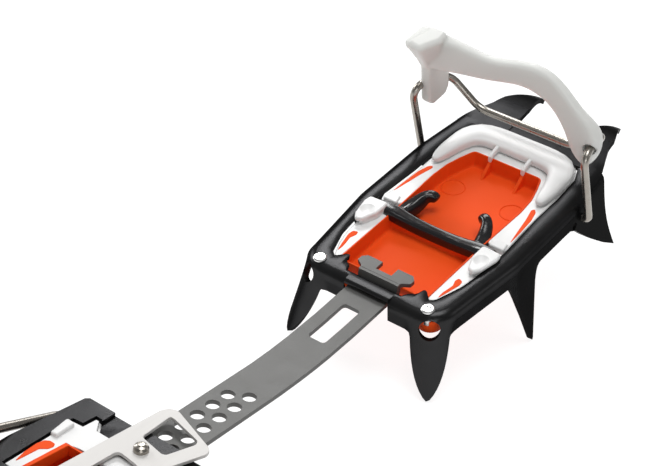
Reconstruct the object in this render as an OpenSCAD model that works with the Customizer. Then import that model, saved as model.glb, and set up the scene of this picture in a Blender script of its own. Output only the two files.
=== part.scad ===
// Semi-automatic crampon: a toe section with a wire toe bail and strap, a perforated link bar,
// and a heel section with a length clip, a wire heel bail and a tensioning lever.
// It stands on its points, toe to +Y, and the ground is z = 0.
// Toe pieces are drawn level, with y = 0 at the corner screws and z = 0 at the top face, then tipped toe-up.
// Heel pieces are drawn with y = 0 at the heel frame's front edge.

/* [Stance] */
// Angle by which the toe section is tipped toe-up, in degrees
toe_rise = 11; // [9:0.5:13]
// Depth of the toe section's rear points below its top face
rear_tip_depth = 36.6; // [34:0.2:39]
// Distance of the rear point tips behind the corner screws
rear_tip_back = 13; // [11:0.5:15]
// Half spacing of the rear point tips
rear_tip_half = 37; // [35:0.5:39]
// Distance from the rear point tips back to the heel frame's front edge
heel_setback = 121.5; // [114:0.5:130]

/* [Sheet steel] */
// Thickness of the pressed frame sheet
sheet = 2.5; // [2.2:0.1:2.8]
// Depth of the frame walls between the points
wall_depth = 10.5; // [9.5:0.5:12]

/* [Toe frame] */
// Half width of the toe frame at its widest
toe_half_w = 42; // [40:0.5:43]
// Half width of the toe frame at its rear corners
toe_rear_half_w = 37.4; // [36:0.2:38.4]
// Distance from the screws to the frame's front edge
toe_front_y = 128; // [126:0.5:130]
// Width of the toe frame's rails at the brace
rail_w = 9.2; // [8:0.2:10]
// Radius of the rear corners in plan
corner_r = 13; // [11:0.5:14]
// Half spacing of the corner screws
screw_half = 27.6; // [27:0.1:28.4]
// Diameter of the corner screw heads
screw_head_d = 5.8; // [5:0.1:6.4]
// Diameter of the corner screw shanks
screw_d = 3; // [2.5:0.1:3.5]
// Length of the front points ahead of the screws
front_tip_y = 168; // [164:0.5:172]
// Drop of the front point tips below the top face
front_tip_drop = 11.6; // [9:0.2:14]
// Depth of the side point tips below the top face
side_tip_depth = 50; // [47:0.5:52]
// Diameter of the round windows in the rear points
window_d = 9; // [7:0.5:10]

/* [Toe bail] */
// Diameter of the bail wires
wire_d = 3.5; // [3:0.1:3.8]
// Inside bend radius of the bail wires
wire_bend_r = 3; // [2.5:0.1:3.5]
// Distance of the toe bail pivot ahead of the screws
bail_y = 99; // [97:0.5:101]
// Depth of the toe bail pivot below the top face
bail_depth = 10; // [9:0.5:11]
// Gap from the toe frame's side to the middle of the bail's legs
bail_clear = 2.6; // [2.2:0.1:4]
// Thickness of the strap's band
strap_t = 5; // [4:0.2:6]
// Running clearance round the wire ends, on the radius
wire_gap = 0.05; // [0.02:0.01:0.1]

/* [Link bar] */
// Width of the link bar
bar_w = 20; // [18:0.5:21]
// Thickness of the link bar
bar_t = 2; // [1.6:0.1:2.4]
// Bend radius of the link bar behind the toe section
bar_bend_r = 300; // [260:5:340]
// Length of the straight rear part of the bar
bar_straight = 110; // [104:1:114]
// Half width of the bar's long slot
bar_slot_half = 4.2; // [3.6:0.1:4.8]
// Radius of the adjustment holes
hole_r = 2.9; // [2.4:0.1:3]
// Pitch of the adjustment holes along one row
hole_pitch = 8.8; // [8:0.1:9.4]
// Number of adjustment holes in one row
hole_count = 9; // [6:1:10]

/* [Heel frame] */
// Half width of the heel frame at its front edge
heel_front_half_w = 37; // [36:0.5:38]
// Half width of the heel frame at its widest
heel_half_w = 41.5; // [40.5:0.5:42]
// Width of the heel frame's rails
heel_rail_w = 9.2; // [8.6:0.2:10]
// Length of the heel frame
heel_len = 78.5; // [76:0.5:82]
// Running gap between the bar and the frame's slots
bar_gap = 0.37; // [0.3:0.01:0.5]

/* [Length clip] */
// Thickness of the clip plate
clip_t = 1.5; // [1.2:0.1:1.8]
// Reach of the clip's nose ahead of the heel frame
clip_reach = 15.2; // [14:0.2:16]
// Distance of the clip's hinge pin behind the heel frame's front edge
clip_pin_y = 52; // [50:0.5:54]
// Diameter of the clip's hinge pin
clip_pin_d = 2.6; // [2.2:0.1:3]

/* [Heel bail and lever] */
// Distance of the heel bail pivot behind the heel frame's front edge
heel_pivot_y = 6.5; // [6:0.5:8]
// Depth of the heel bail pivot below the heel frame's top
heel_pivot_depth = 8; // [7:0.5:8.5]
// Gap from the heel frame's widest side to the middle of the heel bail's legs
heel_bail_clear = 2.4; // [2.3:0.1:3.5]
// Reach of the heel bail from its pivot
heel_reach = 102.5; // [98:0.5:108]
// Slope of the laid-back heel bail above level, in degrees
heel_slope = 19; // [17:0.5:21]
// Half width of the heel bail's cross wire
heel_cross_half = 20; // [19:0.5:22]
// Width of the lever
lever_w = 24; // [22:0.5:26]
// Length of the lever below the cross wire
lever_len = 49; // [46:0.5:50]
// Diameter of the adjuster screw
adjuster_d = 4; // [3.6:0.1:4.4]
// Diameter of the thumb wheel
wheel_d = 12; // [11:0.5:13]
// Travel of the lever on its adjuster
lever_travel = 8; // [6:0.5:9]

/* [Hidden] */
$fn = 64;

// Small clearances that several pieces share
skin = 0.4;
cut = 1;
ease = 0.1;
screw_y = 0.6;

// Ground frame of the toe section
function tipped_y(y, z) = (y + rear_tip_back) * cos(toe_rise) - (z + rear_tip_depth) * sin(toe_rise);
function tipped_z(y, z) = (y + rear_tip_back) * sin(toe_rise) + (z + rear_tip_depth) * cos(toe_rise);

// The bar runs level under the heel frame
bar_top = -3;
bar_flat_end = -20;
bar_slot_front = -13.5;
bar_slot_rear = -38;
bar_turn_y = bar_flat_end - bar_bend_r * sin(toe_rise);
bar_turn_z = bar_top + bar_bend_r * (1 - cos(toe_rise));
bar_level = tipped_z(bar_turn_y, bar_turn_z);
heel_top = bar_level + bar_gap + sheet;

// Heel bail cross wire, from the heel frame's front edge and the ground
cross_y = -heel_pivot_y - heel_reach * cos(heel_slope);
cross_z = heel_top - heel_pivot_depth + heel_reach * sin(heel_slope);
lever_back = 10;

// The part is centred on its own length
front_reach = tipped_y(front_tip_y, -front_tip_drop);
rear_reach = heel_setback - cross_y + lever_back;
pivot_y = (rear_reach - front_reach) / 2;

bail_half_w = toe_half_w + bail_clear;
heel_bail_half_w = heel_half_w + heel_bail_clear;
rail_in = toe_half_w - rail_w;
heel_in = heel_half_w - heel_rail_w;

// Outlines in plan, right side, from rear to front
corner_at = [toe_rear_half_w - corner_r, corner_r - 5];
toe_side_line = [[toe_rear_half_w, corner_r - 5], [toe_half_w, 47], [toe_half_w, 92], [toe_half_w - 3.6,
    toe_front_y]];
toe_outline = concat([for (a = [0:15:75]) corner_at + corner_r * [sin(a), -cos(a)]], toe_side_line);
heel_outline = [[heel_half_w - 8.5, -heel_len], [heel_half_w - 5.5, 4 - heel_len], [heel_half_w, -55],
    [heel_half_w, -36],
    [heel_front_half_w + 0.6, -1.4], [heel_front_half_w - 0.8, 0]];

// Inner edge of the toe frame's rails, right side, from the bar's recess to the front
recess_half = bar_w / 2 + 4;
rail_edge = [[recess_half, 2.4], [recess_half, 11], [19, 11], [24, 6.5], [25.5, 5.5], [rail_in - 2, 22],
    [rail_in - 0.8, 34], [rail_in, 50], [rail_in - 1.3, 77], [rail_in - 1.2, 94], [rail_in - 2.2, 109],
    [rail_in - 5.8, 118], [20, 121.5]];
// Membrane window in the white plates, right side, from rear to front
window_edge = [[rail_in - 7.4, 9.5], [rail_in - 6.8, 45], [rail_in - 7.4, 56], [rail_in - 15, 100]];

brace_y = 46;
brace_r = 2.6;
brace_z = -sheet - brace_r;
plate_t = 2;
plate_z = -sheet - plate_t;
pad_z = -0.5;

function both(points) = concat(points, [for (i = [len(points) - 1:-1:0]) [-points[i].x, points[i].y]]);
function grown(points, d) = [for (p = points) [p.x + d, p.y]];
function unit(v) = v / norm(v);
function turn(a, b, c) = acos(unit(b - a) * unit(c - b));
function setback(a, b, c, r) = r * tan(turn(a, b, c) / 2);
// A smooth curve through hand-placed points, four steps to a span
function spline(p0, p1, p2, p3, t) = 0.5 * ((2 * p1) + (p2 - p0) * t
    + (2 * p0 - 5 * p1 + 4 * p2 - p3) * t * t + (3 * p1 - p0 - 3 * p2 + p3) * t * t * t);
function smooth(p) = concat([for (i = [0:len(p) - 2], k = [0:3])
    spline(p[max(i - 1, 0)], p[i], p[i + 1], p[min(i + 2, len(p) - 1)], k / 4)], [p[len(p) - 1]]);

module toe_place() {
    translate([0, pivot_y, 0]) rotate([toe_rise, 0, 0]) translate([0, rear_tip_back, rear_tip_depth])
        children();
}

module heel_place() {
    translate([0, pivot_y - heel_setback, 0]) children();
}

module mirrored() {
    children();
    mirror([1, 0, 0]) children();
}

// A round rod from one point to another
module rod(a, b, r) {
    v = b - a;
    translate(a) rotate([0, acos(v.z / norm(v)), atan2(v.y, v.x)]) cylinder(h = norm(v), r = r);
}

// A pin along X, centred on a point
module cross_pin(at, length, r) {
    translate(at) rotate([0, 90, 0]) cylinder(h = length, r = r, center = true);
}

// A route through a list of corners, each rounded by an arc of five points
function corner_arc(a, b, c, bend) = let (along = unit(b - a), next = unit(c - b), angle = turn(a, b, c),
    inward = unit(next - along * (along * next)), centre = b - along * setback(a, b, c, bend)
        + inward * bend)
    [for (k = [0:4]) centre + bend * (sin(angle * k / 4) * along - cos(angle * k / 4) * inward)];
function route(p, bends) = concat([p[0]], [for (i = [1:len(p) - 2],
    q = corner_arc(p[i - 1], p[i], p[i + 1], bends[i - 1])) q], [p[len(p) - 1]]);
function heading(p, i) = unit(p[min(i + 1, len(p) - 1)] - p[max(i - 1, 0)]);
function sides(p, i, last) = i == len(p) ? [] : let (t = heading(p, i), n = unit(last - t * (last * t)))
    concat([n], sides(p, i + 1, n));

// A round tube of ten sides along a route, a little over size so that a true round pin fits inside its ends
module tube(p, r) {
    count = 10;
    n = sides(p, 0, [0.31, 0.23, 0.92]);
    rings = [for (i = [0:len(p) - 1], k = [0:count - 1]) let (t = heading(p, i))
        p[i] + 1.06 * r * (cos(360 * k / count) * n[i] + sin(360 * k / count) * cross(t, n[i]))];
    last = (len(p) - 1) * count;
    faces = concat([[for (k = [0:count - 1]) k]], [[for (k = [count - 1:-1:0]) last + k]],
        [for (i = [0:len(p) - 2], k = [0:count - 1], half = [0, 1]) let (a = i * count + k,
            b = i * count + (k + 1) % count) half == 0 ? [a, a + count, b + count] : [a, b + count, b]]);
    polyhedron(rings, faces);
}

// An outline moved inwards, with its corners kept
function inset(p, d) = let (n = len(p)) [for (i = [0:n - 1]) let (u = unit(p[i] - p[(i + n - 1) % n]),
    v = unit(p[(i + 1) % n] - p[i]), k = unit([-u.y - v.y, u.x + v.x])) p[i] + k * d / (k * [-u.y, u.x])];

// A pressed tray, open below: its top is at z = 0, and its walls hang down all round
module pressed_tray(outline) {
    difference() {
        translate([0, 0, -wall_depth]) linear_extrude(wall_depth) polygon(outline);
        translate([0, 0, -wall_depth - cut]) linear_extrude(wall_depth + cut - sheet)
            polygon(inset(outline, sheet));
    }
}

// A flat plate in a wall from a to b, drawn as an outline of distance and height, its outside to the right
module wall(a, b, outline) {
    translate([a.x, a.y, 0]) rotate([0, 0, atan2(b.y - a.y, b.x - a.x)]) translate([0, sheet + ease, 0])
        rotate([90, 0, 0]) linear_extrude(sheet) polygon(outline);
}

// A pointed leaf, as wide as its root and running to a tip below it
function leaf(w, depth) = concat([for (i = [0:8]) [w / 2 * pow(1 - i / 8, 0.78), -depth * i / 8]],
    [for (i = [7:-1:0]) [-w / 2 * pow(1 - i / 8, 0.78), -depth * i / 8]]);

// Toe section

module front_point() {
    droop_start = toe_front_y + 10;
    run = front_tip_y - droop_start;
    radius = (run * run + front_tip_drop * front_tip_drop) / (2 * front_tip_drop);
    steps = [for (k = [0:10]) k * (asin(run / radius) + 3) / 10];
    profile = concat([[toe_front_y - 8, 0]], [for (a = steps) [droop_start + radius * sin(a),
        radius * (cos(a) - 1)]],
        [for (k = [10:-1:0]) [droop_start + (radius - sheet) * sin(steps[k]),
            (radius - sheet) * cos(steps[k]) - radius]],
        [[toe_front_y - 8, -sheet]]);
    intersection() {
        translate([0, 0, -rear_tip_depth]) linear_extrude(2 * rear_tip_depth)
            polygon([[13, toe_front_y - 6],
            [13.4, 132], [14.6, 144], [16.6, 152], [19, 161], [20.8, front_tip_y], [23.4, 161], [27, 153],
            [29.6, 146], [31, 138], [33.6, 131], [37, toe_front_y - 6]]);
        translate([0, 0, -ease]) rotate([90, 0, 90]) linear_extrude(toe_half_w) polygon(profile);
    }
}

rear_turn = 31;
rear_root_r = corner_r - sheet / 2 - skin;
rear_root = corner_at + rear_root_r * [sin(rear_turn), -cos(rear_turn)];
rear_lean = atan(norm([rear_tip_half, -rear_tip_back] - rear_root) / rear_tip_depth);

module rear_point_place() {
    translate([rear_root.x, rear_root.y, 0]) rotate([0, 0, rear_turn]) rotate([-rear_lean, 0, 0])
        children();
}

module rear_point() {
    rear_point_place() difference() {
        rotate([90, 0, 0]) linear_extrude(sheet, center = true)
            polygon(leaf(21, rear_tip_depth / cos(rear_lean)));
        translate([-corner_r, -corner_r, -sheet / 2]) cube([2 * corner_r, 2 * corner_r, 2 * sheet]);
    }
}

module rear_window() {
    rear_point_place() translate([0, 0, 2 - wall_depth]) rotate([90, 0, 0])
        cylinder(h = 6 * sheet, d = window_d, center = true);
}

module third_point() {
    lean = atan(2.5 / side_tip_depth);
    translate([toe_half_w - sheet - ease, 0, -sheet / 2]) rotate([0, -lean, 0]) rotate([90, 0, 90])
        linear_extrude(sheet)
        polygon([[40, 0], [64, 0], [64, cut - wall_depth], [61.5, -wall_depth - 1], [59.6, -14 - sheet],
            [57.6, -side_tip_depth], [56.4, -side_tip_depth], [50, -32], [45, -20], [41.5, -wall_depth - 1],
            [40, cut - wall_depth]]);
}

module second_point() {
    wall(toe_side_line[2], toe_side_line[3], [[2, -sheet / 2], [28, -sheet / 2], [28.4, -8], [30.6, -17],
        [36, -33],
        [43, -side_tip_depth], [41.4, -side_tip_depth + 0.6], [31, -40], [20, -31], [9.5, -21.5], [3, -14],
        [2, cut - wall_depth]]);
}

module toe_points() {
    second_point();
    third_point();
    rear_point();
    front_point();
}

module toe_frame() {
    slot_half = bar_w / 2 + 0.8;
    color([0.09, 0.09, 0.1]) toe_place() difference() {
        union() {
            difference() {
                pressed_tray(both(toe_outline));
                translate([0, 0, -sheet - cut]) linear_extrude(sheet + 2 * cut) {
                    polygon(both(rail_edge));
                    for (side = [-1, 1]) translate([side * (recess_half + 2.2), 9]) circle(3);
                }
            }
            mirrored() toe_points();
        }
        translate([-slot_half, -wall_depth, bar_top - bar_t - 3])
            cube([2 * slot_half, wall_depth - 2.2, 12]);
        mirrored() rear_window();
        for (side = [-1, 1]) {
            translate([side * screw_half, screw_y, -sheet - cut])
                cylinder(h = sheet + 2 * cut, d = screw_d);
            for (step = [-7.5, 0, 7.5])
                cross_pin([side * (toe_half_w - 2), bail_y + step, -bail_depth], 20, wire_d / 2 + wire_gap);
        }
    }
}

module cross_brace() {
    arm_x = 15.5;
    color([0.04, 0.04, 0.05]) toe_place() {
        cross_pin([0, brace_y, brace_z], 2 * (toe_half_w - 6), brace_r);
        mirrored() {
            rod([arm_x + 4, brace_y, brace_z], [arm_x, brace_y + 10.5, 1.2], brace_r);
            translate([arm_x, brace_y + 10.5, 1.2]) sphere(brace_r);
            rod([arm_x, brace_y + 10.5, 1.2], [arm_x - 3, brace_y + 13.2, 2], brace_r - 0.3);
            translate([arm_x - 3, brace_y + 13.2, 2]) sphere(brace_r - 0.3);
            rod([arm_x - 3, brace_y + 13.2, 2], [arm_x - 7.2, brace_y + 13.4, 1.4], brace_r - 0.3);
        }
    }
}

// Side band of a white plate between two distances: a flange under the rail and a pad inside it
module plate_band(y0, y1) {
    intersection() {
        union() {
            translate([0, 0, plate_z]) linear_extrude(plate_t) difference() {
                polygon(both(grown([for (i = [4:12]) rail_edge[i]], 3)));
                polygon(both(window_edge));
            }
            translate([0, 0, plate_z]) linear_extrude(pad_z - plate_z) difference() {
                polygon(both(grown([for (i = [4:12]) rail_edge[i]], -1)));
                polygon(both(window_edge));
            }
        }
        translate([-toe_half_w, y0, plate_z - cut]) cube([2 * toe_half_w, y1 - y0, 20]);
    }
}

module toe_plate() {
    lip_half = rail_in - 9;
    color([0.93, 0.93, 0.92]) toe_place() {
        plate_band(brace_y + brace_r + skin, 121);
        translate([-lip_half, 109, plate_z]) cube([2 * lip_half, 9, 3.4 - plate_z]);
        for (side = [-1, 1]) translate([side * lip_half, 113.5, plate_z])
            cylinder(h = 3.4 - plate_z, d = 9);
        for (side = [-1, 1]) translate([side * 8 - 0.7, 101, plate_z]) cube([1.4, 9, 2.4 - plate_z]);
    }
}

module arch_plate() {
    color([0.93, 0.93, 0.92]) toe_place() difference() {
        union() {
            plate_band(12, brace_y - brace_r - skin);
            mirrored() {
                translate([0, 0, plate_z]) linear_extrude(plate_t)
                    polygon(concat([[rail_in - 1.8, 12], [26.5, 12]],
                    [for (a = [0:20:60]) corner_at + (corner_r - sheet - skin) * [sin(a), -cos(a)]]));
                translate([rail_in - 4.8, 34.5, 0]) linear_extrude(2.2)
                    polygon([[0, 0], [6, 3], [8, 8], [0, 8]]);
                translate([rail_in - 4.8, 34.5, plate_z]) linear_extrude(2.2 - plate_z)
                    polygon([[0, 0], [3, 0], [3, 8], [0, 8]]);
            }
        }
        for (side = [-1, 1]) translate([side * screw_half, screw_y, plate_z - cut])
            cylinder(h = 10, d = screw_d);
    }
}

module toe_membrane() {
    skin_t = 1.4;
    floor_z = -9.6;
    rim_z = -sheet - ease;
    rows = [for (p = window_edge) [p.x - skin, p.y]];
    color([0.92, 0.3, 0.1]) toe_place() difference() {
        union() {
            translate([0, 0, floor_z]) linear_extrude(rim_z - floor_z) polygon(both(grown(rows, 0)));
            translate([0, 0, plate_z - skin_t]) linear_extrude(skin_t) polygon(both(grown(rows, 2.5)));
        }
        difference() {
            translate([0, 0, floor_z + skin_t]) linear_extrude(20) polygon(both([for (i = [0:3])
                [rows[i].x - skin_t, rows[i].y + (i == 0 ? skin_t : i == 3 ? -skin_t : 0)]]));
            for (side = [-1, 1]) translate([side * 8 - 0.7, 91, floor_z]) cube([1.4, 10, 4.4]);
        }
        translate([-toe_half_w, brace_y - brace_r - skin, brace_z - brace_r - skin])
            cube([2 * toe_half_w, 2 * (brace_r + skin), 20]);
    }
}

module screw(head_d, shank_d, length) {
    rotate_extrude() polygon([[0, -length], [shank_d / 2, -length], [shank_d / 2, 0], [head_d / 2, 0],
        [head_d / 2, 0.5], [head_d / 2 - 0.6, 1], [0, 1.1]]);
}

module nut(shank_d, height) {
    difference() {
        cylinder(h = height, d = shank_d + 1.4);
        translate([0, 0, -cut]) cylinder(h = height + 2 * cut, d = shank_d);
    }
}

nut_h = 2.4;
screw_len = sheet + plate_t + nut_h + 0.6;

module corner_screws() {
    color([0.85, 0.85, 0.86]) toe_place() for (side = [-1, 1]) translate([side * screw_half, screw_y, 0])
        difference() {
        screw(screw_head_d, screw_d, screw_len);
        for (turn = [45, 135]) rotate([0, 0, turn]) translate([0, 0, 1]) cube([3, 0.7, 1.2], center = true);
    }
}

module corner_nuts() {
    color([0.7, 0.7, 0.72]) toe_place() for (side = [-1, 1])
        translate([side * screw_half, screw_y, plate_z - nut_h]) nut(screw_d, nut_h);
}

// Toe bail

function bail_right() = [[toe_half_w - 8, bail_y, -bail_depth], [bail_half_w, bail_y, -bail_depth],
    [bail_half_w - 0.4, bail_y - 9, 30], [bail_half_w - 4.2, bail_y + 15, 25.5],
    [bail_half_w - 19.6, bail_y + 17.3, 11.2]];

module toe_wire() {
    half = bail_right();
    bend = wire_bend_r + wire_d / 2;
    eye_bend = bail_clear - 6 * ease;
    tube_x = bail_half_w - eye_bend - 5 * ease;
    pin_end = half[0].x;
    color([0.72, 0.69, 0.65]) toe_place() {
        tube(route(concat([[tube_x, bail_y, -bail_depth]], [for (i = [1:4]) half[i]],
            [for (i = [4:-1:1]) [-half[i].x, half[i].y, half[i].z]], [[-tube_x, bail_y, -bail_depth]]),
            [eye_bend, bend, bend, bend, bend, bend, bend, eye_bend]), wire_d / 2);
        for (side = [-1, 1])
            cross_pin([side * (tube_x + 4 * ease + pin_end) / 2, bail_y, -bail_depth],
                tube_x + 4 * ease - pin_end,
                wire_d / 2);
    }
}

module toe_strap() {
    tab_x = bail_half_w - 2.6;
    top = smooth([for (p = [[-1, 55.5], [-0.82, 54.8], [-0.545, 56], [-0.2, 55], [0.155, 59], [0.39,
        59.6], [0.605, 56.6],
        [0.752, 51.6], [0.87, 45], [1.024, 38]]) [p.x * tab_x, p.y]]);
    bottom = smooth([for (p = [[0.905, 24], [0.786, 27.5], [0.686, 36.2], [0.569, 43], [0.386, 46.6],
        [0.169, 47.6],
        [-0.129, 44.4], [-0.41, 42], [-0.698, 40.5], [-0.952, 38]]) [p.x * tab_x, p.y]]);
    tab_left = [[bail_y - 15, 56], [bail_y - 4, 58], [bail_y + 8, 44], [bail_y + 14, 31], [bail_y + 13, 18],
        [bail_y + 8, 15], [bail_y - 1, 18], [bail_y - 6, 27], [bail_y - 9, 42]];
    color([0.87, 0.87, 0.84]) toe_place() {
        translate([0, bail_y - 1 + strap_t / 2, 0]) rotate([90, 0, 0]) linear_extrude(strap_t)
            polygon(concat(top, bottom));
        translate([-tab_x - strap_t / 2, 0, 0]) rotate([90, 0, 90]) linear_extrude(strap_t)
            polygon(tab_left);
        cross_pin([tab_x, bail_y, 30], strap_t, 9);
    }
}

// Link bar

head_top = bar_top + 4;

// Side view of the bar: the neck of its hammer head, a flat, a gentle bend, and the straight rear part
module bar_profile() {
    neck_front = 7.4;
    outer_r = bar_bend_r + bar_t;
    steps = [for (k = [0:10]) k * toe_rise / 10];
    tail = [bar_turn_y - bar_straight * cos(toe_rise), bar_turn_z + bar_straight * sin(toe_rise)];
    polygon(concat([[neck_front, head_top - ease], [4.2, head_top - ease], [3.2, bar_top]],
        [for (a = steps) [bar_flat_end - bar_bend_r * sin(a), bar_top + bar_bend_r * (1 - cos(a))]],
        [tail, tail - bar_t * [sin(toe_rise), cos(toe_rise)]],
        [for (k = [10:-1:0]) [bar_flat_end - outer_r * sin(steps[k]),
            bar_top + bar_bend_r - outer_r * cos(steps[k])]],
        [[5.2, bar_top - bar_t], [6.2, head_top - bar_t + ease], [neck_front, head_top - bar_t + ease]]));
}

// Outline of a long slot with rounded corners, from one distance to another
function slot_outline(y0, y1, half, r) = [for (c = [[1, 1, 0], [-1, 1, 90], [-1, -1, 180], [1, -1, 270]],
    a = [0:30:90])
    [c.x * (half - r) + r * cos(c.z + a), (c.y > 0 ? y1 - r : y0 + r) + r * sin(c.z + a)]];

module link_bar() {
    head_half = 13.5;
    first_hole = 10.2;
    color([0.43, 0.42, 0.41]) toe_place() {
        difference() {
            rotate([90, 0, 90]) linear_extrude(bar_w, center = true) bar_profile();
            translate([0, 0, -20]) linear_extrude(40)
                polygon(slot_outline(bar_slot_rear, bar_slot_front, bar_slot_half, 1.6));
            translate([0, bar_turn_y, bar_turn_z]) rotate([-toe_rise, 0, 0]) {
                for (k = [0:hole_count - 1], side = [-1, 1])
                    translate([side * 3.5, -first_hole - hole_pitch * k + (side > 0 ? hole_pitch / 2 : 0),
                        -bar_t - cut])
                        cylinder(h = bar_t + 2 * cut, r = hole_r);
                for (side = [0, 1]) mirror([side, 0, 0]) translate([bar_w / 2, -bar_straight, -bar_t - cut])
                    linear_extrude(bar_t + 2 * cut) polygon([[-3.5, -cut], [cut, -cut], [cut, 4.5]]);
            }
        }
        translate([0, 0, head_top - bar_t]) linear_extrude(bar_t) polygon(both([[bar_w / 2 - ease, 5.6],
            [bar_w / 2 + 0.6, 6.6], [head_half, 8.4], [head_half, 11], [bar_w / 2 + 1.6, 13], [4, 13], [4,
                8]]));
    }
}

// Heel section

module heel_point(a, b, tip, root0, root1) {
    wall(a, b, [[root0, -sheet / 2], [root1, -sheet / 2], [root1, cut - wall_depth], [tip + 1.2,
        1.4 - heel_top],
        [tip, -heel_top], [tip - 1.2, 1.4 - heel_top], [root0, cut - wall_depth]]);
}

module heel_wall_slot(y) {
    translate([-bar_w / 2 - 0.8, y - 3 * sheet, bar_level - bar_t - bar_gap])
        cube([bar_w + 1.6, 6 * sheet, bar_t + 2 * bar_gap + ease]);
}

heel_open_front = -17;
tab_front = -11;
nib_front = -6.2;
tab_rear = -23.4;
heel_open_rear = 12 - heel_len;
strap_front = 4 - clip_pin_y;
strap_rear = -4 - clip_pin_y;
lug_x = 18;
heel_screw_half = heel_in - 3.5;
clip_pin_z = heel_top + skin + 2.4;

module heel_frame() {
    color([0.09, 0.09, 0.1]) heel_place() difference() {
        union() {
            translate([0, 0, heel_top]) {
                difference() {
                    pressed_tray(both(heel_outline));
                    translate([0, 0, -sheet - cut]) linear_extrude(sheet + 2 * cut)
                        polygon(both([[12.6, heel_open_front],
                        [13.4, tab_front], [20.6, tab_front], [24, nib_front], [27, nib_front], [27.6,
                            tab_front - 1.5],
                        [heel_in, tab_front - 2], [heel_in, -36], [heel_in, -55], [heel_in - 5.5,
                            heel_open_rear],
                        [20, heel_open_rear]]));
                }
                translate([-heel_in - 2.5, strap_rear, ease - sheet])
                    cube([2 * heel_in + 5, strap_front - strap_rear, sheet - 2 * ease]);
                mirrored() {
                    heel_point(heel_outline[3], heel_outline[4], 27, 12, 32.8);
                    heel_point(heel_outline[1], heel_outline[2], 4, 0, 19);
                }
            }
            for (side = [-1, 1]) translate([side * lug_x - 1, -clip_pin_y - 3, heel_top - cut])
                cube([2, 6, clip_pin_z - heel_top + cut + 3]);
        }
        for (y = [0, -heel_len]) heel_wall_slot(y);
        cross_pin([0, -clip_pin_y, clip_pin_z], 60, clip_pin_d / 2);
        translate([0, -11.5, heel_top - sheet - cut]) cylinder(h = 10, d = 7.4);
        for (side = [-1, 1]) {
            cross_pin([side * heel_half_w, -heel_pivot_y, heel_top - heel_pivot_depth], 20,
                wire_d / 2 + wire_gap);
            translate([side * heel_screw_half, 7 - heel_len, heel_top - 10]) cylinder(h = 20, d = screw_d);
        }
    }
}

heel_plate_z = heel_top - sheet - plate_t;

module heel_middle() {
    polygon(both([[13.8, cut], [13.8, tab_rear - 0.4], [19.4, tab_rear - 1], [19.4, -heel_len]]));
}

module heel_plate() {
    color([0.93, 0.93, 0.92]) heel_place() difference() {
        union() {
            translate([0, 0, heel_plate_z]) linear_extrude(plate_t) difference() {
                polygon(both([[14.4, tab_front + 2], [20, tab_front + 2], [23, nib_front + 2], [28.4,
                    nib_front + 2],
                    [29.4, tab_front + 1.4], [heel_in + 2.4, tab_front], [heel_in + 3, -36], [heel_in + 3,
                        -55],
                    [heel_in - 0.5, 4.5 - heel_len], [20, 4.5 - heel_len]]));
                polygon(both([[18, tab_rear], [20.5, tab_rear - 0.6], [21.5, -57], [19,
                    heel_open_rear + 1]]));
                heel_middle();
            }
            intersection() {
                translate([0, 0, heel_plate_z]) linear_extrude(heel_top - 0.5 - heel_plate_z) difference() {
                    polygon(both([[14.6, tab_front - 1], [21.2, tab_front - 1], [24.6, nib_front - 1.1],
                        [26, nib_front - 1.1], [26.6, tab_front - 2.6], [heel_in - 1, tab_front - 3],
                            [heel_in - 1, -36],
                        [heel_in - 1, -55], [heel_in - 6.5, heel_open_rear + 1], [20,
                            heel_open_rear + 1]]));
                    polygon(both([[18, tab_rear - 0.2], [21, tab_rear - 0.8], [22, -57], [20,
                        heel_open_rear - 4]]));
                    heel_middle();
                }
                for (span = [[strap_front + 0.6, nib_front], [heel_open_rear, strap_rear - 0.6]])
                    translate([-heel_half_w, span[0], 0]) cube([2 * heel_half_w, span[1] - span[0], 60]);
            }
        }
        for (side = [-1, 1]) translate([side * heel_screw_half, 7 - heel_len, 0])
            cylinder(h = 60, d = screw_d);
    }
}

module heel_membrane() {
    skin_t = 1.4;
    top_z = heel_plate_z;
    floor_z = bar_level - bar_t - 8;
    rows = [[heel_in - 7.5, heel_open_front - 1], [heel_in - 6, -36], [heel_in - 6, -55], [heel_in - 7.5,
        heel_open_rear]];
    color([0.9, 0.28, 0.1]) heel_place() difference() {
        translate([0, 0, floor_z]) linear_extrude(top_z - floor_z) polygon(both(rows));
        translate([0, 0, floor_z + skin_t]) linear_extrude(20) polygon(both([for (i = [0:3])
            [rows[i].x - skin_t, rows[i].y + (i == 0 ? -skin_t : i == 3 ? skin_t : 0)]]));
        translate([-bar_w / 2 - 1, -heel_len, bar_level - bar_t - 1]) cube([bar_w + 2, heel_len, 20]);
    }
}

module heel_screws() {
    color([0.85, 0.85, 0.86]) heel_place() for (side = [-1, 1])
        translate([side * heel_screw_half, 7 - heel_len, heel_top]) difference() {
            screw(screw_head_d, screw_d, screw_len);
            for (turn = [45, 135]) rotate([0, 0, turn]) translate([0, 0, 1])
                cube([3, 0.7, 1.2], center = true);
        }
}

module heel_nuts() {
    color([0.7, 0.7, 0.72]) heel_place() for (side = [-1, 1])
        translate([side * heel_screw_half, 7 - heel_len, heel_plate_z - nut_h]) nut(screw_d, nut_h);
}

// Length clip

clip_z = heel_top + skin;

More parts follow.
